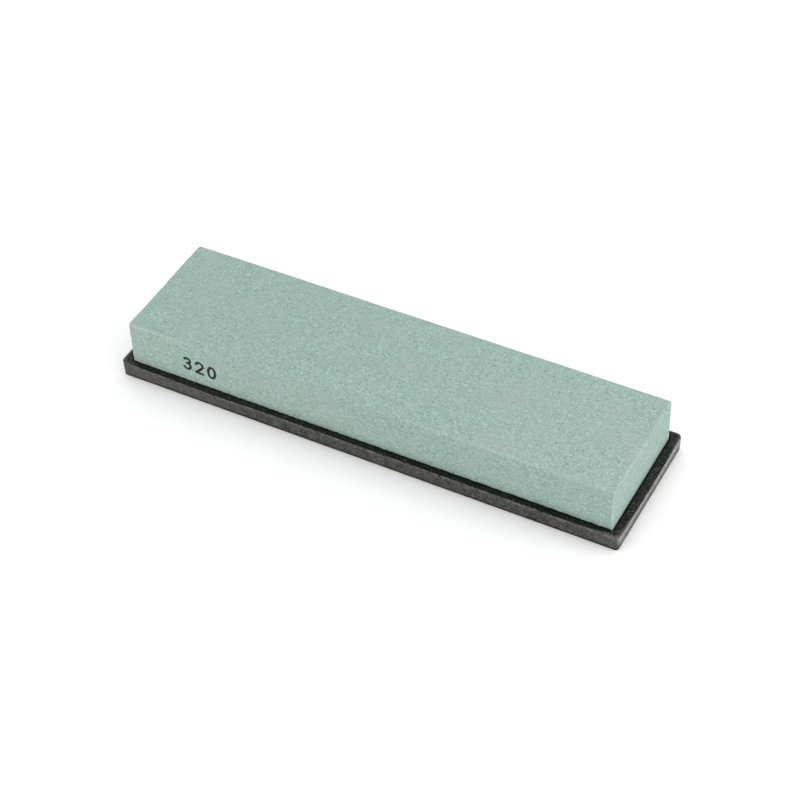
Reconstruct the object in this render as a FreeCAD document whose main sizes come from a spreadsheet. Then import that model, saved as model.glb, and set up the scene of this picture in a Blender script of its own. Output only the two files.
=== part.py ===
import FreeCAD, Part
import os
import Sketcher

# A bench whetstone: a silicon carbide block that lies loose in a moulded rubber tray.
# Units are millimetres. The origin is at the middle of the tray's underside, +X runs along
# the stone and +Z points up, out of the honing face.

# The driving dimensions, as they stand in the spreadsheet.
SIZES = {
    "stone_length": 200.0,
    "stone_width": 51.2,
    "stone_thickness": 20.0,
    "stone_corner_radius": 0.7,  # the block's four upright edges
    "stone_edge_chamfer": 0.4,  # the edges round its top and its bottom
    "seat_gap": 0.5,  # between the stone and the tray's wall, all round
    "seat_depth": 1.6,  # how far the stone sits below the rim
    "seat_corner_radius": 0.9,
    "end_wall": 3.6,  # the rim's width at the two ends
    "side_wall": 2.7,  # the rim's width along the two sides
    "floor_thickness": 5.2,  # the rubber under the stone
    "wall_flare": 0.5,  # how far the rim stands out beyond the foot, as the wall leans
    "tray_corner_radius": 1.4,  # at the foot; the flare widens it
    "rim_round": 0.35,  # the rim's outer edge
    "rim_break": 0.3,  # the rim's inner edge
    "foot_round": 0.3,  # the edge that the tray stands on
    "groove_count": 22,  # cross grooves that help the underside to grip
    "groove_pitch": 9.0,
    "groove_length": 44.0,
    "groove_width": 2.4,
    "groove_depth": 0.8,
}

# Compound dimensions, as spreadsheet expressions.
RIM_HEIGHT = "Sizes.floor_thickness + Sizes.seat_depth"
SEAT_LENGTH = "Sizes.stone_length + 2 * Sizes.seat_gap"
SEAT_WIDTH = "Sizes.stone_width + 2 * Sizes.seat_gap"
TRAY_LENGTH = f"{SEAT_LENGTH} + 2 * Sizes.end_wall"
TRAY_WIDTH = f"{SEAT_WIDTH} + 2 * Sizes.side_wall"
FOOT_LENGTH = f"{TRAY_LENGTH} - 2 * Sizes.wall_flare"
FOOT_WIDTH = f"{TRAY_WIDTH} - 2 * Sizes.wall_flare"
WALL_LEAN = f"atan(Sizes.wall_flare / ({RIM_HEIGHT}))"
GROOVE_ROW_LENGTH = "Sizes.groove_pitch * (Sizes.groove_count - 1)"

# Two heights or lengths closer than this count as equal.
TOLERANCE = 0.01

document = FreeCAD.newDocument("Whetstone")


def make_sheet():
    """Puts the driving dimensions in a spreadsheet, one aliased cell each."""
    sheet = document.addObject("Spreadsheet::Sheet", "Sizes")
    for row, (name, value) in enumerate(SIZES.items(), start=1):
        sheet.set(f"A{row}", name)
        sheet.set(f"B{row}", str(value))
        sheet.setAlias(f"B{row}", name)
    document.recompute()


def make_body(name):
    body = document.addObject("PartDesign::Body", name)
    body.Label = name
    return body


def origin_feature(body, role):
    """One of the body's own origin planes or axes."""
    return next(feature for feature in body.Origin.OriginFeatures if feature.Role == role)


def rectangle_sketch(body, name, length, width, offset_x="0", height="0"):
    """A centred, level rectangle. Its sizes and its place are expressions."""
    sketch = body.newObject("Sketcher::SketchObject", name)
    sketch.AttachmentSupport = [(origin_feature(body, "XY_Plane"), "")]
    sketch.MapMode = "FlatFace"
    corners = [FreeCAD.Vector(x, y, 0) for x, y in ((-1, -1), (1, -1), (1, 1), (-1, 1))]
    for start, end in zip(corners, corners[1:] + corners[:1]):
        sketch.addGeometry(Part.LineSegment(start, end), False)
    for side in range(4):
        sketch.addConstraint(Sketcher.Constraint("Coincident", side, 2, (side + 1) % 4, 1))
        sketch.addConstraint(Sketcher.Constraint(("Horizontal", "Vertical")[side % 2], side))
    sketch.addConstraint(Sketcher.Constraint("Symmetric", 0, 1, 2, 1, -1, 1))
    for side, kind, label, size in ((0, "DistanceX", "length", length), (1, "DistanceY", "width", width)):
        index = sketch.addConstraint(Sketcher.Constraint(kind, side, 1, side, 2, 2.0))
        sketch.renameConstraint(index, label)
        sketch.setExpression(f"Constraints.{label}", size)
    sketch.setExpression("AttachmentOffset.Base.x", offset_x)
    sketch.setExpression("AttachmentOffset.Base.z", height)
    document.recompute()
    return sketch


def add_pad(body, sketch, name, height):
    feature = body.newObject("PartDesign::Pad", name)
    feature.Profile = sketch
    feature.setExpression("Length", height)
    document.recompute()
    return feature


def lean_sides(body, name, base, angle):
    """Leans the upright faces of the base feature outwards, about their foot."""
    sides = [f"Face{number}" for number, face in enumerate(base.Shape.Faces, start=1)
             if face.BoundBox.ZLength > TOLERANCE]
    feature = body.newObject("PartDesign::Draft", name)
    feature.Base = (base, sides)
    feature.NeutralPlane = (origin_feature(body, "XY_Plane"), [""])
    feature.Reversed = True
    feature.setExpression("Angle", angle)
    document.recompute()
    return feature


def add_pocket(body, sketch, name, depth, upward=False):
    """Cuts down from the sketch, or up from it. It has to take some material away."""
    volume_before = body.Shape.Volume
    feature = body.newObject("PartDesign::Pocket", name)
    feature.Profile = sketch
    feature.Reversed = upward
    feature.setExpression("Length", depth)
    document.recompute()
    if body.Shape.Volume >= volume_before:
        raise RuntimeError(f"{name} cuts nothing")
    return feature


def add_row(body, feature, name, count, length):
    """Repeats a feature along X, count times over the given length."""
    row = body.newObject("PartDesign::LinearPattern", name)
    row.Originals = [feature]
    row.Direction = (origin_feature(body, "X_Axis"), [""])
    row.setExpression("Length", length)
    row.setExpression("Occurrences", count)
    body.Tip = row
    document.recompute()
    return row


def dress_edges(body, kind, name, base, edges, size):
    """A Fillet or a Chamfer of one size on some edges of the base feature."""
    shape_edges = enumerate(base.Shape.Edges, start=1)
    names = [f"Edge{number}" for number, edge in shape_edges if any(edge.isSame(e) for e in edges)]
    feature = body.newObject(f"PartDesign::{kind}", name)
    feature.Base = (base, names)
    feature.setExpression({"Fillet": "Radius", "Chamfer": "Size"}[kind], size)
    document.recompute()
    return feature


def rising_edges(feature, foot_height):
    """The edges that rise from this height."""
    rising = [edge for edge in feature.Shape.Edges if edge.BoundBox.ZLength > TOLERANCE]
    return [edge for edge in rising if abs(edge.BoundBox.ZMin - foot_height) < TOLERANCE]


def level_face(feature, height):
    """The largest level face at this height."""
    level = [face for face in feature.Shape.Faces if face.BoundBox.ZLength < TOLERANCE]
    return max((f for f in level if abs(f.BoundBox.ZMin - height) < TOLERANCE), key=lambda f: f.Area)


def make_stone():
    """The abrasive block, with its upright corners eased and its other edges broken."""
    body = make_body("abrasive_stone")
    outline = rectangle_sketch(body, "StoneOutline", "Sizes.stone_length", "Sizes.stone_width")
    block = add_pad(body, outline, "StoneBlock", "Sizes.stone_thickness")
    corners = rising_edges(block, 0.0)
    eased = dress_edges(body, "Fillet", "StoneCorners", block, corners, "Sizes.stone_corner_radius")
    faces = [level_face(eased, height) for height in (0.0, SIZES["stone_thickness"])]
    edges = [edge for face in faces for edge in face.Edges]
    dress_edges(body, "Chamfer", "StoneEdges", eased, edges, "Sizes.stone_edge_chamfer")
    body.setExpression("Placement.Base.z", "Sizes.floor_thickness")
    return body


def make_tray():
    """The rubber tray: a floor, a low flared rim round the stone, and cross grooves underneath."""
    body = make_body("rubber_tray")
    floor_height = SIZES["floor_thickness"]
    rim_height = floor_height + SIZES["seat_depth"]

    foot_outline = rectangle_sketch(body, "FootOutline", FOOT_LENGTH, FOOT_WIDTH)
    slab = add_pad(body, foot_outline, "TraySlab", RIM_HEIGHT)
    corners = rising_edges(slab, 0.0)
    rounded = dress_edges(body, "Fillet", "TrayCorners", slab, corners, "Sizes.tray_corner_radius")
    lean_sides(body, "WallFlare", rounded, WALL_LEAN)

    seat_outline = rectangle_sketch(body, "SeatOutline", SEAT_LENGTH, SEAT_WIDTH, height=RIM_HEIGHT)
    seat = add_pocket(body, seat_outline, "Seat", "Sizes.seat_depth")
    corners = rising_edges(seat, floor_height)
    seat = dress_edges(body, "Fillet", "SeatCorners", seat, corners, "Sizes.seat_corner_radius")

    groove_outline = rectangle_sketch(body, "GrooveOutline", "Sizes.groove_width", "Sizes.groove_length",
                                      offset_x=f"-{GROOVE_ROW_LENGTH} / 2")
    groove = add_pocket(body, groove_outline, "Groove", "Sizes.groove_depth", upward=True)
    grooved = add_row(body, groove, "Grooves", "Sizes.groove_count", GROOVE_ROW_LENGTH)

    rim_face = level_face(grooved, rim_height)
    outer_edges = rim_face.OuterWire.Edges
    rim = dress_edges(body, "Fillet", "RimRound", grooved, outer_edges, "Sizes.rim_round")
    foot_edges = level_face(rim, 0.0).OuterWire.Edges
    foot = dress_edges(body, "Fillet", "FootRound", rim, foot_edges, "Sizes.foot_round")
    rim_face = level_face(foot, rim_height)
    inner_wires = [wire for wire in rim_face.Wires if not wire.isSame(rim_face.OuterWire)]
    dress_edges(body, "Chamfer", "RimBreak", foot, inner_wires[0].Edges, "Sizes.rim_break")
    return body


def check(bodies):
    """Stops if a feature has failed or a body isn't one valid solid, and prints the sizes."""
    failed = [item.Name for item in document.Objects if {"Invalid", "Error"} & set(item.State)]
    if failed:
        raise RuntimeError(f"failed features: {failed}")
    for body in bodies:
        shape = body.Shape
        if shape.isNull() or not shape.isValid() or len(shape.Solids) != 1:
            raise RuntimeError(f"{body.Label} isn't one valid solid")
        box = shape.optimalBoundingBox()
        print(f"{body.Label}: {box.XLength:.2f} x {box.YLength:.2f} x {box.ZLength:.2f} mm, "
              f"from z {box.ZMin:.2f}, {shape.Volume / 1000:.2f} cm3")


make_sheet()
sub_parts = [make_stone(), make_tray()]
document.recompute()
check(sub_parts)
os.makedirs("parts", exist_ok=True)
for sub_part in sub_parts:
    sub_part.Shape.exportStep(f"parts/{sub_part.Label}.step")
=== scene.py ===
"""The looks of a bench whetstone: a silicon carbide block, its rubber tray and its stamped grit."""

import itertools
import math

import bpy
import numpy as np
from mathutils import Matrix, Vector
from mathutils.bvhtree import BVHTree


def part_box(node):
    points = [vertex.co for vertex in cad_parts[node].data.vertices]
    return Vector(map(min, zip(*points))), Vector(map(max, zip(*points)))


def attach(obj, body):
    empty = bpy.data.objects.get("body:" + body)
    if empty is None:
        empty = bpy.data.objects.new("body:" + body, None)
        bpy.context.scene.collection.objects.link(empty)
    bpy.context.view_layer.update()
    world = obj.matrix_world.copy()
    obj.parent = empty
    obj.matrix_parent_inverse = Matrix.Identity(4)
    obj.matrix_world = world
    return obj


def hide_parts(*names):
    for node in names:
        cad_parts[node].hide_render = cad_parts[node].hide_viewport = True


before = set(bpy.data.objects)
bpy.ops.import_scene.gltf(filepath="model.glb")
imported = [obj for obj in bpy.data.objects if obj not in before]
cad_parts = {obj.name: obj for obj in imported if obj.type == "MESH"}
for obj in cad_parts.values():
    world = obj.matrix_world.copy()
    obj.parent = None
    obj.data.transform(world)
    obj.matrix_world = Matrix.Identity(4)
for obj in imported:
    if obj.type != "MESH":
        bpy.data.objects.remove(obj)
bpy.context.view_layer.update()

# The sizes below are in millimetres. Blender's own are in metres.
MM = 0.001

# Where the CAD parts are. The tray's underside is at height 0.
STONE_LOW, STONE_HIGH = (np.array(corner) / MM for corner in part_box("abrasive_stone"))
TRAY_HIGH = np.array(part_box("rubber_tray")[1]) / MM

# The block.
ARRIS_RADIUS = 0.42  # its worn edges
ARRIS_SPREAD = 0.18  # how much that radius wanders
CHIP_RADIUS = 0.7  # what the deepest nicks add to it
# Knocked and worn places on its edges: where, from -1 to 1 along each side, how long and how deep.
KNOCKS = (
    ((-1, -1, 1), 1.5, 0.5),
    ((-1, -0.45, 1), 12.0, 0.5),
    ((-1, -1, 0.35), 3.5, 0.2),
    ((-1, -1, -0.75), 3.0, 0.3),
    ((1, 1, -0.2), 2.5, 0.3),
    ((-1, 1, 0.8), 2.0, 0.6),
    ((1, -1, -0.5), 2.0, 0.3),
)
PORE_DEPTH = 0.035  # the relief of the grain
DIP_SHARE = 0.3  # how deep the wider dips are, as a share of that
EDGE_BAND = 1.1  # how far from an edge the faces are paler, from wear and a painted highlight
FINE_STEP = 0.16  # the mesh at the block's edges
COARSE_STEP = 0.6  # the mesh on its faces
STEP_GROWTH = 1.25

# The tray. The seat is the recess that the block stands in.
SEAT_GAP = 0.5
SEAT_DEPTH = 1.6
SEAT_CORNER = 0.9
WALL_FLARE = 0.5  # how far the rim stands out beyond the foot
FOOT_CORNER = 1.3
RIM_CORNER = 2.3
RIM_ROUND = 0.35
RIM_BREAK = 0.3
FOOT_ROUND = 0.3
GROOVE_COUNT = 22
GROOVE_PITCH = 9.0
GROOVE_LENGTH = 44.0
GROOVE_WIDTH = 2.4
GROOVE_DEPTH = 0.8
CORNER_STEPS = 8
WAVE_DEPTH = 0.05  # how uneven the moulded walls are, over about a centimetre
LUMP_DEPTH = 0.035  # the relief of the rubber's skin
# How much squarer than round each upright corner is at its foot: front right, back right, back
# left and front left.
CORNER_SQUARENESS = np.array([0.0, 2.0, 0.0, 0.0])
# Stretches where the rim's outer edge has sunk, or risen if negative: the middle, how long and
# how deep.
RIM_DIPS = (
    ((104.0, 28.8), 8.0, -0.5),
    ((-64.0, -28.8), 19.0, 0.7),
    ((104.0, 0.0), 13.0, 0.4),
    ((28.0, 28.8), 17.0, 0.3),
)
# Where the rim's outer edge is grey like the wall, from scuffs and, beside the front right corner, a
# painted highlight: the middle of each, how long and how far in.
SCUFFS_AND_HIGHLIGHTS = (
    ((99.5, -28.8), 7.5, 1.05),
    ((104.0, -24.0), 6.0, 0.4),
    ((104.0, 26.0), 6.0, 0.4),
    ((-104.0, -26.5), 4.5, 1.0),
)

# The stamped number on the front.
STAMP_LEFT = 23.0  # from the block's left end
STAMP_FOOT = 5.2  # above the rim
STAMP_TILT = math.radians(-3.3)
DIGIT_PITCH = 5.4
DIGIT_HEIGHT = 6.4
DIGIT_WIDTH = 4.05
WAIST_HEIGHT = 0.53 * DIGIT_HEIGHT  # where a 3's two bowls meet
BOWL_MIDDLE = 0.68 * DIGIT_HEIGHT  # the middle of a 2's bowl
STROKE = 1.1
INK_CELL = 0.11  # the mesh of the ink
INK_PROUD = 0.02
INK_THICKNESS = 0.06
INK_RAGGED = 0.07  # how far its outline wanders

LATTICE = 64  # the random lattice repeats after this many cells


def lattice_noise(points, cell, seed):
    """Smooth random values from -1 to 1 at the points, independent from one cell to the next."""
    lattice = np.random.default_rng(seed).uniform(-1, 1, (LATTICE,) * 3)
    scaled = points / cell
    base = np.floor(scaled).astype(int)
    part = scaled - base
    part = part * part * (3 - 2 * part)
    total = np.zeros(len(points))
    for corner in itertools.product((0, 1), repeat=3):
        weight = np.prod(np.where(corner, part, 1 - part), axis=1)
        index = (base + corner) % LATTICE
        total += weight * lattice[index[:, 0], index[:, 1], index[:, 2]]
    return total


def share_noise(points, cell, seed):
    """The same, from 0 to 1."""
    return 0.5 + 0.5 * lattice_noise(points, cell, seed)


def smooth_step(values, low, high):
    """0 up to low and 1 from high on, with a smooth rise between them."""
    part = np.clip((values - low) / (high - low), 0, 1)
    return part * part * (3 - 2 * part)


def bell(points, place, length):
    """1 at the place, falling to almost nothing at twice this length from it."""
    away = np.linalg.norm(points - place, axis=1)
    return np.exp(-((away / length) ** 2))


def make_object(name, points, faces):
    """A smooth-shaded mesh object from points in millimetres."""
    mesh = bpy.data.meshes.new(name)
    mesh.from_pydata((points * MM).tolist(), [], faces)
    mesh.validate()
    mesh.shade_smooth()
    piece = bpy.data.objects.new(name, mesh)
    bpy.context.scene.collection.objects.link(piece)
    return piece


def set_attribute(piece, name, values):
    """One number for each vertex, which the piece's material reads."""
    attribute = piece.data.attributes.new(name, "FLOAT", "POINT")
    attribute.data.foreach_set("value", values.astype(np.float32))


def vertex_normals(piece):
    normals = np.zeros(len(piece.data.vertices) * 3, np.float32)
    piece.data.vertices.foreach_get("normal", normals)
    return normals.reshape(-1, 3)


def vertex_points(piece):
    points = np.zeros(len(piece.data.vertices) * 3, np.float32)
    piece.data.vertices.foreach_get("co", points)
    return points.reshape(-1, 3) / MM


def press_in(piece, depth):
    """Moves each vertex inwards along its normal by its own depth in millimetres."""
    points = vertex_points(piece) - vertex_normals(piece) * depth[:, None]
    piece.data.vertices.foreach_set("co", (points * MM).astype(np.float32).ravel())
    piece.data.update()


def grid_quads(number):
    """The quads of a grid, from the number of the point at each crossing."""
    corners = [number[:-1, :-1], number[:-1, 1:], number[1:, 1:], number[1:, :-1]]
    return np.stack(corners, axis=-1).reshape(-1, 4)


# ---- The block ----


def graded_line(low, high):
    """Grid lines from low to high, closest together at both ends."""
    steps = [FINE_STEP]
    while steps[-1] * STEP_GROWTH < COARSE_STEP:
        steps.append(steps[-1] * STEP_GROWTH)
    start = low + np.concatenate([[0], np.cumsum(steps)])
    end = (low + high - start)[::-1]
    count = math.ceil((end[0] - start[-1]) / COARSE_STEP)
    return np.concatenate([start[:-1], np.linspace(start[-1], end[0], count + 1), end[1:]])


def box_shell(lines):
    """The points and outward quads of a box's surface, on three sets of grid lines."""
    number = np.full([len(line) for line in lines], -1)
    on_surface = np.zeros(number.shape, bool)
    for axis in range(3):
        np.moveaxis(on_surface, axis, 0)[[0, -1]] = True
    number[on_surface] = np.arange(on_surface.sum())
    points = np.stack(np.meshgrid(*lines, indexing="ij"), axis=-1)[on_surface]
    quads = []
    for axis, end in itertools.product(range(3), (0, -1)):
        layer = np.take(number, end, axis=axis)
        quad = [layer[:-1, :-1], layer[1:, :-1], layer[1:, 1:], layer[:-1, 1:]]
        if (axis == 1) != (end == 0):
            quad.reverse()
        quads.append(np.stack(quad, axis=-1).reshape(-1, 4))
    return points, np.concatenate(quads)


def worn_radius(points, offset, half):
    """The radius that the block's edges are worn to near each point."""
    wander = lattice_noise(points, cell=7.0, seed=1) * ARRIS_SPREAD
    chance = lattice_noise(points, cell=1.3, seed=2) + 0.4 * lattice_noise(points, cell=4.5, seed=3)
    nicks = smooth_step(chance, 0.5, 1.1)
    radius = ARRIS_RADIUS + wander + nicks * CHIP_RADIUS
    for place, length, depth in KNOCKS:
        radius += depth * bell(offset, half * place, length)
    return radius[:, None]


def make_stone():
    """The block, with worn and nicked edges and a grain that stands in relief."""
    points, quads = box_shell([graded_line(low, high) for low, high in zip(STONE_LOW, STONE_HIGH)])
    middle = (STONE_LOW + STONE_HIGH) / 2
    half = (STONE_HIGH - STONE_LOW) / 2
    offset = points - middle
    radius = worn_radius(points, offset, half)
    core = np.clip(offset, radius - half, half - radius)
    outward = offset - core
    outward /= np.linalg.norm(outward, axis=1)[:, None]
    piece = make_object("whetstone_block", middle + core + outward * radius, quads.tolist())
    grain = share_noise(points, cell=0.75, seed=4)
    dips = share_noise(points, cell=3.1, seed=5)
    press_in(piece, PORE_DEPTH * (grain + DIP_SHARE * dips))

    from_face = half - np.abs(offset)
    to_edge = np.sort(from_face, axis=1)[:, 1]
    to_upright_edge = from_face[:, :2].max(axis=1)
    # The edges' paler band, partly wear and partly a painted highlight, comes and goes along them.
    wear_and_highlight = smooth_step(lattice_noise(points, cell=30.0, seed=81), -0.1, 0.7)
    set_attribute(piece, "edge", np.clip(1 - to_edge / EDGE_BAND, 0, 1) * wear_and_highlight)
    set_attribute(piece, "upright", np.clip(1 - to_upright_edge / EDGE_BAND, 0, 1))
    return piece


# ---- The tray ----


def wall_place(height):
    """How far out the leaning end wall and side wall stand at this height."""
    return TRAY_HIGH[:2] - WALL_FLARE * (1 - height / TRAY_HIGH[2])


def corner_radius(height):
    """The radius of the tray's upright corners, which open out towards the rim."""
    return FOOT_CORNER + (RIM_CORNER - FOOT_CORNER) * height / TRAY_HIGH[2]


def corner_power(number, height):
    """The power of an upright corner's outline: 2 is round, and more is squarer."""
    return 2 + CORNER_SQUARENESS[number] * (1 - height / TRAY_HIGH[2])


def depth_inside(points):
    """How far inside the tray's outer wall each point is."""
    right, back = points[:, 0] > 0, points[:, 1] > 0
    nearest_corner = np.where(right, np.where(back, 1, 0), np.where(back, 2, 3))
    power = corner_power(nearest_corner, points[:, 2])
    radius = corner_radius(points[:, 2])
    beyond = np.abs(points[:, :2]) - wall_place(points[:, 2:]) + radius[:, None]
    past_corner = (np.maximum(beyond, 0) ** power[:, None]).sum(axis=1) ** (1 / power)
    return radius - past_corner - np.minimum(beyond.max(axis=1), 0)


def tray_rings():
    """The tray's outline at each step of its section, as (half length, half width, corner, height).

    They run from the underside out round the foot, up the wall, over the rim and down into the seat.
    """
    seat = STONE_HIGH[:2] + SEAT_GAP
    top = TRAY_HIGH[2]
    floor = top - SEAT_DEPTH

    def inset(amount, height):
        return (*(wall_place(height) - amount), corner_radius(height) - amount, height)

    def between(first, last, steps):
        parts = np.linspace(0, 1, steps + 1)[1:]
        return [tuple(np.add(first, np.subtract(last, first) * part)) for part in parts]

    def quarter_turn(steps):
        return np.linspace(0, math.pi / 2, steps + 1)[1:]

    rings = [inset(FOOT_CORNER, 0.0)]
    rings += between(rings[-1], inset(FOOT_ROUND, 0.0), steps=4)
    for turn in quarter_turn(steps=4):
        rings.append(inset(FOOT_ROUND * (1 - math.sin(turn)), FOOT_ROUND * (1 - math.cos(turn))))
    rings += between(rings[-1], inset(0.0, top - RIM_ROUND), steps=10)
    for turn in quarter_turn(steps=5):
        rings.append(inset(RIM_ROUND * (1 - math.cos(turn)), top - RIM_ROUND * (1 - math.sin(turn))))
    rings += between(rings[-1], (*(seat + RIM_BREAK), SEAT_CORNER + RIM_BREAK, top), steps=5)
    rings += between(rings[-1], (*seat, SEAT_CORNER, top - RIM_BREAK), steps=2)
    rings += between(rings[-1], (*seat, SEAT_CORNER, floor), steps=3)
    rings += between(rings[-1], (*(seat - SEAT_CORNER), 0.0, floor), steps=2)
    return rings


def ring_points(ring, along, across):
    """One closed outline, with side points at these fractions of the straight stretches."""
    half_x, half_y, corner, height = ring
    straight_x = along * (half_x - corner)
    straight_y = across * (half_y - corner)
    sides = [
        [(x, -half_y) for x in straight_x],
        [(half_x, y) for y in straight_y],
        [(x, half_y) for x in straight_x[::-1]],
        [(-half_x, y) for y in straight_y[::-1]],
    ]
    points = []
    for number, side in enumerate(sides):
        points += side
        sign_x = (1, 1, -1, -1)[number]
        sign_y = (-1, 1, 1, -1)[number]
        for step in range(1, CORNER_STEPS):
            angle = math.radians(-90 + 90 * number + 90 * step / CORNER_STEPS)
            root = 2 / corner_power(number, height)
            x = sign_x * (half_x - corner + corner * abs(math.cos(angle)) ** root)
            y = sign_y * (half_y - corner + corner * abs(math.sin(angle)) ** root)
            points.append((x, y))
    return [(x, y, height) for x, y in points]


def groove_centres():
    return (np.arange(GROOVE_COUNT) - (GROOVE_COUNT - 1) / 2) * GROOVE_PITCH


def tray_fractions():
    """Where the side points stand: close together at the grooves' edges, even elsewhere."""
    half_x, half_y = TRAY_HIGH[:2] - RIM_CORNER
    near_edge = np.array([-0.25, -0.08, 0.0, 0.08, 0.2, 0.4])  # from a groove's edge, inwards
    half_groove = GROOVE_WIDTH / 2
    in_groove = np.concatenate([near_edge - half_groove, [0.0], half_groove - near_edge[::-1]])
    in_grooves = (groove_centres()[:, None] + in_groove).ravel()
    half_land = (GROOVE_PITCH - GROOVE_WIDTH) / 2
    on_land = half_groove + half_land * np.array([0.35, 0.7, 1.0, 1.3, 1.65])
    on_lands = (groove_centres()[:, None] + on_land).ravel()
    columns = np.concatenate([in_grooves, on_lands, -on_lands, [-half_x, half_x]])
    groove_ends = GROOVE_LENGTH / 2 - near_edge
    middle = np.linspace(-1, 1, 60) * (groove_ends.min() - 0.3)
    rows = np.concatenate([-groove_ends, middle, groove_ends, [-half_y, half_y]])
    along = np.unique(np.round(columns[np.abs(columns) <= half_x] / half_x, 6))
    across = np.unique(np.round(rows[np.abs(rows) <= half_y] / half_y, 6))
    return along, across


def weld(points, quads):
    """Joins the points that lie together, and drops the faces that this closes."""
    _, first, number = np.unique(np.round(points, 4), axis=0, return_index=True, return_inverse=True)
    faces = [tuple(dict.fromkeys(quad)) for quad in number.ravel()[quads].tolist()]
    return points[first], [face for face in faces if len(face) > 2]


def tray_surface():
    """Rings round the tray's section, closed by a grid underneath and one in the seat."""
    along, across = tray_fractions()
    rings = tray_rings()
    outlines = np.array([ring_points(ring, along, across) for ring in rings])
    number = np.arange(outlines.shape[0] * outlines.shape[1]).reshape(outlines.shape[:2])
    quads = [grid_quads(np.concatenate([number, number[:, :1]], axis=1))]
    points = [outlines.reshape(-1, 3)]
    for ring, upward in ((rings[0], False), (rings[-1], True)):
        half_x, half_y, _, height = ring
        x, y = np.meshgrid(along * half_x, across * half_y)
        first = sum(len(group) for group in points)
        grid = grid_quads(first + np.arange(x.size).reshape(x.shape))
        quads.append(grid if upward else grid[:, ::-1])
        points.append(np.stack([x.ravel(), y.ravel(), np.full(x.size, height)], axis=-1))
    return weld(np.concatenate(points), np.concatenate(quads))


def cut_grooves(points):
    """Raises the points of the underside where the cross grooves run."""
    to_groove = np.abs(points[:, :1] - groove_centres()).min(axis=1)
    inside = np.minimum(GROOVE_WIDTH / 2 - to_groove, GROOVE_LENGTH / 2 - np.abs(points[:, 1]))
    underneath = points[:, 2] < 0.001
    points[:, 2] += underneath * GROOVE_DEPTH * smooth_step(inside, -0.09, 0.21)


def sunk_rim(points, from_wall):
    """The points, lower where the rim's outer edge has sunk."""
    sunk = points.copy()
    outer_rim = (1 - smooth_step(from_wall, 0.0, 2.5)) * smooth_step(points[:, 2], 3.5, TRAY_HIGH[2])
    for place, length, depth in RIM_DIPS:
        sunk[:, 2] -= depth * bell(points[:, :2], place, length) * outer_rim
    return sunk


def wall_share(points, from_wall):
    """1 on the outer wall and 0 on the rim and inside it, with scuffs and a painted highlight that
    reach over the edge.
    """
    scuffs_and_highlight = np.zeros(len(points))
    for place, length, reach in SCUFFS_AND_HIGHLIGHTS:
        scuffs_and_highlight = np.maximum(scuffs_and_highlight, reach * bell(points[:, :2], place, length))
    return 1 - smooth_step(from_wall - scuffs_and_highlight, 0.08, 0.35)


def make_tray():
    """The tray, with its sunk rim and uneven walls, and what its material reads."""
    points, faces = tray_surface()
    cut_grooves(points)
    from_wall = depth_inside(points)
    piece = make_object("whetstone_tray", sunk_rim(points, from_wall), faces)
    wave = share_noise(points, cell=11.0, seed=11)
    lumps = share_noise(points, cell=1.6, seed=12)
    press_in(piece, WAVE_DEPTH * wave + LUMP_DEPTH * lumps)

    from_arris = np.hypot(from_wall, TRAY_HIGH[2] - points[:, 2])
    set_attribute(piece, "arris", 1 - smooth_step(from_arris, 0.15, 0.7))
    wall = wall_share(points, from_wall)
    set_attribute(piece, "wall", wall)
    facing_end = smooth_step(np.abs(vertex_normals(piece)[:, 0]), 0.5, 0.85)
    beside_end = smooth_step(np.abs(points[:, 0]) - STONE_HIGH[0], -0.5, 1.5)
    set_attribute(piece, "end", np.where(wall > 0, facing_end, beside_end))
    return piece


# ---- The stamped number ----


def arc(centre, radii, start, end):
    """Points on an ellipse's arc, between two angles in degrees."""
    angles = np.radians(np.linspace(start, end, 40))
    x = centre[0] + radii[0] * np.cos(angles)
    z = centre[1] + radii[1] * np.sin(angles)
    return np.stack([x, z], axis=-1)


def digit_line(digit):
    """The middle line of a digit's stroke, in its own box of DIGIT_WIDTH by DIGIT_HEIGHT."""
    edge = STROKE / 2
    right = DIGIT_WIDTH - edge
    top = DIGIT_HEIGHT - edge
    centre = DIGIT_WIDTH / 2
    waist = WAIST_HEIGHT
    if digit == "0":
        return arc((centre, DIGIT_HEIGHT / 2), (centre - edge, DIGIT_HEIGHT / 2 - edge), 0, 360)
    if digit == "3":
        upper = arc((centre, (top + waist) / 2), (0.86 * (centre - edge), (top - waist) / 2), 150, -90)
        lower = arc((centre, (waist + edge) / 2), (centre - edge, (waist - edge) / 2), 90, -150)
        return np.concatenate([upper, lower])
    bowl = arc((centre, BOWL_MIDDLE), (centre - edge, top - BOWL_MIDDLE), 165, -35)
    return np.concatenate([bowl, [(edge, edge), (right, edge)]])


def distance_to_line(points, line):
    """How far each point is from a chain of straight pieces."""
    nearest = np.full(len(points), np.inf)
    for start, end in zip(line[:-1], line[1:]):
        along = end - start
        part = np.clip((points - start) @ along / max(along @ along, 1e-12), 0, 1)
        nearest = np.minimum(nearest, np.linalg.norm(points - start - part[:, None] * along, axis=1))
    return nearest


def stamp_cells(digit):
    """Quads of ink that cover one digit's stroke, with a slightly ragged outline."""
    columns = int(DIGIT_WIDTH / INK_CELL) + 3
    rows = int(DIGIT_HEIGHT / INK_CELL) + 3
    x, z = np.meshgrid((np.arange(columns) - 1) * INK_CELL, (np.arange(rows) - 1) * INK_CELL)
    points = np.stack([x.ravel(), z.ravel()], axis=-1)
    quads = grid_quads(np.arange(x.size).reshape(x.shape))
    middles = points[quads].mean(axis=1)
    flat_middles = np.pad(middles, ((0, 0), (0, 1)))
    ragged = INK_RAGGED * lattice_noise(flat_middles, cell=0.3, seed=21 + int(digit))
    quads = quads[distance_to_line(middles, digit_line(digit)) < STROKE / 2 + ragged]
    used, number = np.unique(quads, return_inverse=True)
    return points[used], number.reshape(-1, 4)


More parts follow.
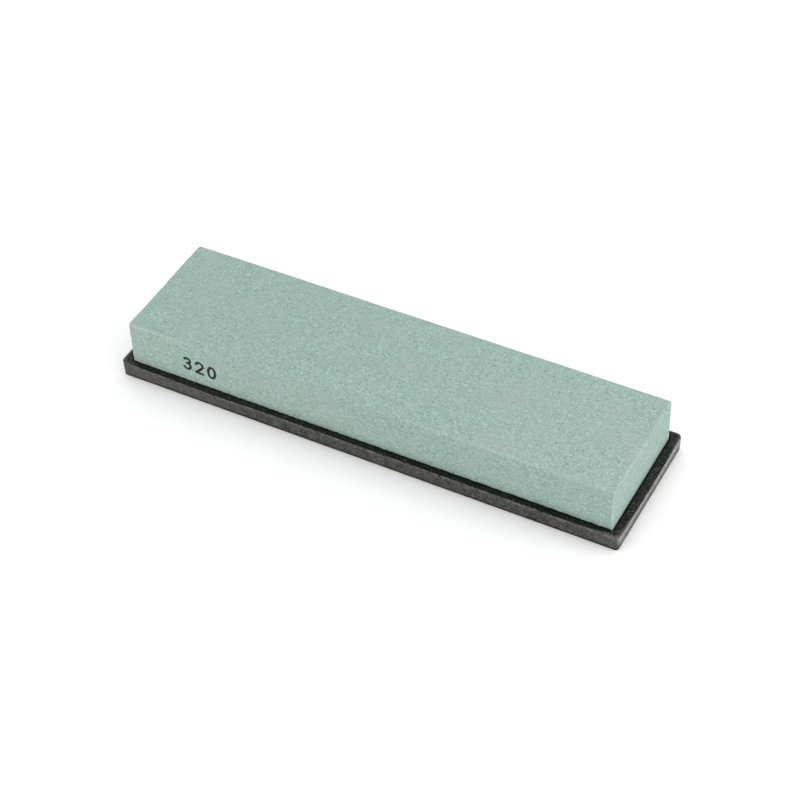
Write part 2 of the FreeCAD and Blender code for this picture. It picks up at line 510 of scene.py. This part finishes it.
def make_stamp(number, stone):
    """The stamped grit: a thin skin of ink that follows the block's surface."""
    surface = BVHTree.FromPolygons([v.co for v in stone.data.vertices],
                                   [tuple(p.vertices) for p in stone.data.polygons])
    in_front = STONE_LOW[1] - 5
    points, faces = [], []
    for place, digit in enumerate(number):
        flat, quads = stamp_cells(digit)
        faces += (quads + len(points)).tolist()
        for x, z in flat + (place * DIGIT_PITCH, 0):
            at_x = STONE_LOW[0] + STAMP_LEFT + x * math.cos(STAMP_TILT) - z * math.sin(STAMP_TILT)
            at_z = TRAY_HIGH[2] + STAMP_FOOT + x * math.sin(STAMP_TILT) + z * math.cos(STAMP_TILT)
            start = Vector((at_x, in_front, at_z)) * MM
            hit = surface.ray_cast(start, Vector((0, 1, 0)))[0]
            points.append(np.array(hit) / MM - (0, INK_PROUD, 0))
    piece = make_object("grit_stamp", np.array(points), faces)
    skin = piece.modifiers.new("skin", "SOLIDIFY")
    skin.thickness = INK_THICKNESS * MM
    skin.offset = -1
    bpy.context.view_layer.update()
    solid = bpy.data.meshes.new_from_object(piece.evaluated_get(bpy.context.evaluated_depsgraph_get()))
    piece.modifiers.clear()
    piece.data = solid
    return piece


# ---- Materials ----


class Nodes:
    """Short ways to add the nodes of one material. Lengths are in millimetres."""

    def __init__(self, name):
        self.material = bpy.data.materials.new(name)
        self.material.use_nodes = True
        self.tree = self.material.node_tree
        self.shader = self.tree.nodes["Principled BSDF"]
        self.place = self.add("ShaderNodeTexCoord").outputs["Object"]

    def add(self, kind, **settings):
        node = self.tree.nodes.new(kind)
        for key, value in settings.items():
            setattr(node, key, value)
        return node

    def link(self, source, target):
        """Feeds a socket from another socket, or sets it to a number or a colour."""
        if isinstance(source, bpy.types.NodeSocket):
            self.tree.links.new(source, target)
        else:
            target.default_value = source

    def coordinate(self, axis):
        """The place along one axis."""
        split = self.add("ShaderNodeSeparateXYZ")
        self.link(self.place, split.inputs["Vector"])
        return self.maths("DIVIDE", split.outputs[axis], MM)

    def noise(self, size, detail=2.0, roughness=0.5, offset=0.0, stretch=1.0):
        """Noise with blobs of about this size, which are stretched along Y.

        The offset is in metres, and moves the noise to another place.
        """
        node = self.add("ShaderNodeTexNoise", noise_dimensions="3D", normalize=True)
        moved = self.add("ShaderNodeMapping")
        moved.inputs["Location"].default_value = (offset, offset, offset)
        moved.inputs["Scale"].default_value = (1.0, 1 / stretch, 1.0)
        self.link(self.place, moved.inputs["Vector"])
        self.link(moved.outputs["Vector"], node.inputs["Vector"])
        node.inputs["Scale"].default_value = 1 / (size * MM)
        node.inputs["Detail"].default_value = detail
        node.inputs["Roughness"].default_value = roughness
        return node.outputs["Fac"]

    def cells(self, size):
        """A random number from 0 to 1 for each grain of about this size."""
        node = self.add("ShaderNodeTexVoronoi", feature="F1")
        self.link(self.place, node.inputs["Vector"])
        node.inputs["Scale"].default_value = 1 / (size * MM)
        split = self.add("ShaderNodeSeparateColor")
        self.link(node.outputs["Color"], split.inputs["Color"])
        return split.outputs["Red"]

    def attribute(self, name):
        return self.add("ShaderNodeAttribute", attribute_name=name).outputs["Fac"]

    def remap(self, value, low, high, to_low=0.0, to_high=1.0):
        """to_low where the value is low and to_high where it is high, with a smooth change between."""
        node = self.add("ShaderNodeMapRange", interpolation_type="SMOOTHSTEP")
        for socket, amount in zip(node.inputs, (value, low, high, to_low, to_high)):
            self.link(amount, socket)
        return node.outputs["Result"]

    def maths(self, operation, first, second=0.0):
        node = self.add("ShaderNodeMath", operation=operation)
        self.link(first, node.inputs[0])
        self.link(second, node.inputs[1])
        return node.outputs["Value"]

    def weighted_sum(self, first, first_weight, second, second_weight):
        first_part = self.maths("MULTIPLY", first, first_weight)
        second_part = self.maths("MULTIPLY", second, second_weight)
        return self.maths("ADD", first_part, second_part)

    def mix(self, share, first, second, blend="MIX"):
        """Mixes or multiplies two colours, each a tuple or a socket."""
        node = self.add("ShaderNodeMix", data_type="RGBA", blend_type=blend)
        self.link(share, node.inputs["Factor"])
        for source, target in ((first, "A"), (second, "B")):
            socket = [s for s in node.inputs if s.name == target and s.type == "RGBA"][0]
            self.link((*source, 1.0) if isinstance(source, tuple) else source, socket)
        return [s for s in node.outputs if s.type == "RGBA"][0]

    def bump(self, height, depth):
        """Relief of this depth for a height from 0 to 1."""
        node = self.add("ShaderNodeBump")
        node.inputs["Strength"].default_value = 1.0
        node.inputs["Distance"].default_value = depth * MM
        self.link(height, node.inputs["Height"])
        self.link(node.outputs["Normal"], self.shader.inputs["Normal"])

    def finish(self, colour, roughness, specular=None):
        """Gives the shader its colour, roughness and, unless it keeps its own, specular level."""
        self.link(colour, self.shader.inputs["Base Color"])
        self.link(roughness, self.shader.inputs["Roughness"])
        if specular is not None:
            self.link(specular, self.shader.inputs["Specular IOR Level"])
        return self.material


def grit_colour(nodes, grain):
    """Green, paler and darker with the grain, with greyer patches and a few odd grains."""
    green = (0.267, 0.386, 0.343)
    pale = (0.372, 0.512, 0.463)
    dark = (0.187, 0.268, 0.237)
    grey = (0.306, 0.378, 0.350)
    bright_grain = (0.54, 0.63, 0.58)
    dull_grain = (0.14, 0.22, 0.19)
    colour = nodes.mix(nodes.remap(grain, 0.5, 0.68), green, pale)
    colour = nodes.mix(nodes.remap(grain, 0.5, 0.32), colour, dark)
    patches = nodes.noise(17.0, detail=2.0, offset=3.0)
    colour = nodes.mix(nodes.remap(patches, 0.35, 0.75, 0.0, 0.45), colour, grey)
    grit = nodes.cells(0.5)
    colour = nodes.mix(nodes.remap(grit, 0.9, 1.0, 0.0, 0.17), colour, bright_grain)
    return nodes.mix(nodes.remap(grit, 0.1, 0.0, 0.0, 0.2), colour, dull_grain)


def rub_and_highlight_edges(nodes, colour, height):
    """Paler green on the edges, partly wear and partly a painted highlight, which is strongest low down
    on the upright ones.
    """
    rubbed_highlight_green = (0.46, 0.57, 0.53)
    share = nodes.maths("MULTIPLY", nodes.attribute("edge"), 0.3)
    # A painted highlight on the upright edges, brightest low down.
    upright_share = nodes.remap(height, 16.0, 9.0, 0.2, 0.45)
    upright_share = nodes.maths("MULTIPLY", nodes.attribute("upright"), upright_share)
    return nodes.mix(nodes.maths("MAXIMUM", share, upright_share), colour, rubbed_highlight_green)


def paint_light_on_faces(nodes, colour, along, height):
    """Painted light: slightly paler at the front's left end and at the top's right end, where light
    falls from those sides, and near the foot, where it lifts the shade.
    """
    front = STONE_LOW[1]
    on_front = nodes.remap(nodes.coordinate("Y"), front + 0.4, front + 0.1)
    front_share = nodes.maths("MULTIPLY", on_front, nodes.remap(along, 40.0, -60.0))
    top = STONE_HIGH[2] - TRAY_HIGH[2]
    on_top = nodes.remap(height, top - 0.3, top - 0.05)
    top_share = nodes.maths("MULTIPLY", on_top, nodes.remap(along, 20.0, 80.0, 0.0, 0.45))
    painted_light = nodes.maths("MAXIMUM", front_share, top_share)
    # Painted light on the front's left end and on the top's right end.
    colour = nodes.mix(painted_light, colour, (1.07, 1.03, 1.035), "MULTIPLY")
    # Painted light that lifts the shade near the foot.
    near_foot = nodes.remap(height, 0.0, 12.0, 0.35, 0.0)
    return nodes.mix(near_foot, colour, (1.187, 1.152, 1.150), "MULTIPLY")


def residue_and_seat_shadow(nodes, colour, along, height, ragged):
    """A black, uneven painted shadow where the foot stands in the seat, up to about the rim and lower
    at the left, where pale residue tops it; it is less dark on the ends.
    """
    residue = (0.52, 0.60, 0.50)
    side_seat_shadow = (0.010, 0.022, 0.014)
    end_seat_shadow = (0.13, 0.155, 0.14)
    lower_at_left = nodes.maths("ADD", height, nodes.remap(along, 75.0, -45.0, 0.0, 0.38))
    uneven = nodes.maths("ADD", lower_at_left, nodes.remap(ragged, 0.3, 0.7, -0.15, 0.15))
    at_left = nodes.remap(along, -45.0, -80.0, 0.0, 0.3)
    above_seat_shadow = nodes.maths("MULTIPLY", nodes.remap(uneven, 1.2, 0.4), at_left)
    colour = nodes.mix(above_seat_shadow, colour, residue)
    # The painted shadow in the seat, less dark on the ends.
    end = STONE_HIGH[0]
    on_end = nodes.remap(nodes.maths("ABSOLUTE", along), end - 1.0, end - 0.2)
    seat_shadow = nodes.mix(on_end, side_seat_shadow, end_seat_shadow)
    return nodes.mix(nodes.remap(uneven, 0.15, -0.1), colour, seat_shadow)


def abrasive_material():
    """Green silicon carbide: a matt, open grain of paler and darker grit."""
    nodes = Nodes("abrasive")
    fine = nodes.noise(0.72, detail=2.0, roughness=0.5, offset=-0.00014)
    coarse = nodes.noise(1.3, detail=2.0, roughness=0.6, offset=1.0)
    grain = nodes.weighted_sum(fine, 0.62, coarse, 0.38)
    along = nodes.coordinate("X")
    above_rim = nodes.maths("SUBTRACT", nodes.coordinate("Z"), TRAY_HIGH[2])
    colour = grit_colour(nodes, grain)
    colour = rub_and_highlight_edges(nodes, colour, above_rim)
    colour = paint_light_on_faces(nodes, colour, along, above_rim)
    colour = residue_and_seat_shadow(nodes, colour, along, above_rim, ragged=coarse)
    nodes.bump(grain, 0.12)
    return nodes.finish(colour, nodes.remap(grain, 0.3, 0.7, 0.82, 0.95), specular=0.25)


def side_rim(nodes, shade, flecks):
    """The rim along the two long sides: black, with a few paler flecks."""
    colour = nodes.mix(shade, (0.0, 0.002, 0.0005), (0.002, 0.006, 0.003))
    return nodes.mix(nodes.remap(flecks, 0.56, 0.68), colour, (0.042, 0.043, 0.033))


def end_rim(nodes, shade, flecks, scratches, from_middle):
    """The rim at the two ends: black, scratched, and greyer right beside the block, where painted light
    lifts the block's shade.
    """
    colour = nodes.mix(shade, (0.0, 0.002, 0.0), (0.006, 0.009, 0.004))
    colour = nodes.mix(nodes.remap(scratches, 0.5, 0.68, 0.0, 0.45), colour, (0.048, 0.052, 0.042))
    colour = nodes.mix(nodes.remap(flecks, 0.57, 0.7), colour, (0.095, 0.100, 0.082))
    seat_end = STONE_HIGH[0] + SEAT_GAP
    # Painted light that lifts the block's shade on the rim right beside it.
    painted_light_beside_block = nodes.remap(from_middle, seat_end + 1.0, seat_end + 0.1, 0.0, 0.6)
    return nodes.mix(painted_light_beside_block, colour, (0.036, 0.042, 0.033))


def side_wall(nodes, shade, scratches, along, height, along_side):
    """The long walls: grey, dustier at both ends, with scuffs and a painted highlight along the top
    away from the left end, and a painted shadow that blackens the foot.
    """
    dust = (0.13, 0.13, 0.127)
    colour = nodes.mix(shade, (0.018, 0.018, 0.017), (0.079, 0.079, 0.076))
    dusty_left = nodes.remap(along, -75.0, -35.0, 0.2, 0.0)
    colour = nodes.mix(dusty_left, colour, dust)
    colour = nodes.mix(nodes.remap(along, 85.0, 100.0, 0.0, 0.17), colour, dust)
    # Scuffs and a painted highlight along the top of the wall.
    scuffs_and_highlight = nodes.maths("MULTIPLY", nodes.remap(height, 5.2, 6.1), nodes.remap(scratches, 0.42, 0.64))
    scuffs_and_highlight = nodes.maths("MULTIPLY", scuffs_and_highlight, nodes.remap(dusty_left, 0.0, 0.2, 0.42, 0.0))
    colour = nodes.mix(scuffs_and_highlight, colour, (0.17, 0.17, 0.165))
    # A painted shadow that blackens the foot.
    foot = nodes.maths("MULTIPLY", nodes.remap(height, 1.7, 0.5, 0.0, 0.95), along_side)
    return nodes.mix(foot, colour, (0.004, 0.004, 0.004))


def end_wall(nodes, mottle, height):
    """The end walls: smeared with dust, and paler on their upper half, where a painted reflection lies.
    """
    smears = nodes.noise(0.9, detail=3.0, roughness=0.6, offset=7.0, stretch=4.0)
    smears = nodes.remap(nodes.weighted_sum(smears, 0.7, mottle, 0.3), 0.4, 0.6)
    lower = nodes.mix(smears, (0.030, 0.031, 0.027), (0.110, 0.112, 0.102))
    # The upper half is paler with a painted reflection.
    upper = nodes.mix(smears, (0.119, 0.121, 0.111), (0.296, 0.302, 0.276))
    return nodes.mix(nodes.remap(height, 2.3, 4.8), lower, upper)


def rubber_material():
    """Black moulded rubber, matt on its rim and greyer on its outer walls, with scuffs, painted
    highlights on the walls' tops and the rim's edge, a painted reflection on the end walls and a
    painted shadow at the foot.
    """
    nodes = Nodes("tray_rubber")
    mottle = nodes.noise(1.1, detail=4.0, roughness=0.75)
    blotch = nodes.noise(2.8, detail=2.0, offset=2.0)
    shade = nodes.remap(nodes.weighted_sum(mottle, 1.0, blotch, 0.35), 0.56, 0.79)
    flecks = nodes.noise(0.8, detail=2.0, roughness=0.6, offset=9.0)
    scratches = nodes.noise(2.2, detail=4.0, roughness=0.7, offset=5.0)
    along = nodes.coordinate("X")
    height = nodes.coordinate("Z")
    end = nodes.attribute("end")
    along_side = nodes.maths("SUBTRACT", 1.0, end)

    rim = side_rim(nodes, shade, flecks)
    rim = nodes.mix(end, rim, end_rim(nodes, shade, flecks, scratches, nodes.maths("ABSOLUTE", along)))
    wall = side_wall(nodes, shade, scratches, along, height, along_side)
    wall = nodes.mix(end, wall, end_wall(nodes, mottle, height))
    colour = nodes.mix(nodes.attribute("wall"), rim, wall)

    # Scuffs and a painted highlight on the rim's outer edge, less on the end walls.
    scuff_and_highlight = nodes.maths("MULTIPLY", nodes.attribute("arris"), scratches)
    most_scuff_and_highlight = nodes.remap(end, 0.0, 1.0, 0.35, 0.12)
    colour = nodes.mix(nodes.remap(scuff_and_highlight, 0.35, 0.62, 0.0, most_scuff_and_highlight), colour, (0.22, 0.22, 0.21))
    dust = nodes.cells(0.5)
    colour = nodes.mix(nodes.remap(dust, 0.85, 1.0, 0.0, 0.09), colour, (0.30, 0.34, 0.30))
    colour = nodes.mix(nodes.remap(dust, 0.2, 0.0, 0.0, 0.55), colour, (0.002, 0.003, 0.002))
    nodes.bump(nodes.weighted_sum(mottle, 1.0, flecks, 0.6), 0.14)
    return nodes.finish(colour, nodes.remap(mottle, 0.3, 0.7, 0.4, 0.6), specular=0.2)


def ink_material():
    """Black stamping ink, thinner where the grain stands proud."""
    nodes = Nodes("ink")
    grain = nodes.noise(0.5, detail=3.0, roughness=0.65)
    colour = nodes.mix(nodes.remap(grain, 0.5, 0.75), (0.012, 0.02, 0.018), (0.06, 0.09, 0.08))
    nodes.bump(grain, 0.08)
    return nodes.finish(colour, nodes.remap(grain, 0.3, 0.7, 0.7, 0.9), specular=0.2)


def floor_material():
    """Plain white, with a barely uneven tone."""
    nodes = Nodes("floor")
    tone = nodes.noise(300.0, detail=2.0)
    colour = nodes.mix(nodes.remap(tone, 0.3, 0.7), (0.94, 0.94, 0.94), (0.95, 0.95, 0.95))
    return nodes.finish(colour, nodes.remap(tone, 0.3, 0.7, 0.7, 0.75))


# ---- The stage ----


def make_floor():
    half = 3000.0
    corners = np.array([(-half, -half, 0), (half, -half, 0), (half, half, 0), (-half, half, 0)])
    floor = make_object("floor", corners, [(0, 1, 2, 3)])
    floor.data.materials.append(floor_material())


def make_world():
    world = bpy.data.worlds.new("studio")
    world.use_nodes = True
    background = world.node_tree.nodes["Background"]
    background.inputs["Color"].default_value = (1.0, 1.0, 1.0, 1.0)
    background.inputs["Strength"].default_value = 1.15
    bpy.context.scene.world = world


def make_light(name, place, size, power, colour=(1.0, 1.0, 1.0)):
    """A soft square light that faces the object. The place and the size are in metres."""
    data = bpy.data.lights.new(name, "AREA")
    data.color = colour
    data.shape = "SQUARE"
    data.size = size
    data.energy = power
    light = bpy.data.objects.new(name, data)
    light.location = place
    light.rotation_euler = (-Vector(place)).to_track_quat("-Z", "Y").to_euler()
    light.visible_camera = False
    bpy.context.scene.collection.objects.link(light)


def make_camera():
    """Looks down on the front right corner, tipped a little to one side."""
    azimuth, elevation, roll = (math.radians(angle) for angle in (29.835, 43.959, -2.604))
    target = Vector((-1.111, 5.735, 0)) * MM
    distance = 803.2
    level = math.cos(elevation)
    back = Vector((math.sin(azimuth) * level, -math.cos(azimuth) * level, math.sin(elevation)))
    right = Vector((math.cos(azimuth), math.sin(azimuth), 0))
    turned = Matrix.Rotation(roll, 3, back) @ Matrix((right, back.cross(right), back)).transposed()
    data = bpy.data.cameras.new("camera")
    data.lens = 95.486
    data.sensor_width = 36.0
    camera = bpy.data.objects.new("camera", data)
    camera.matrix_world = Matrix.Translation(target + back * distance * MM) @ turned.to_4x4()
    bpy.context.scene.collection.objects.link(camera)
    bpy.context.scene.camera = camera


# ---- The whole ----

make_camera()
stone = make_stone()
tray = make_tray()
stamp = make_stamp("320", stone)
for piece, slot, body, material in (
    (stone, "abrasive", "stone", abrasive_material()),
    (tray, "tray_rubber", "tray", rubber_material()),
    (stamp, "ink", "stone", ink_material()),
):
    piece.data.materials.append(material)
    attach(piece, body)
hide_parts("abrasive_stone")
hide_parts("rubber_tray")

make_floor()
make_world()
make_light("key", place=(0.5, 0.08, 0.2), size=0.3, power=0.65, colour=(1.0, 0.92, 0.95))
make_light("fill", place=(-0.7, -1.0, 0.35), size=0.8, power=1.2)
bpy.context.scene.view_settings.view_transform = "Standard"
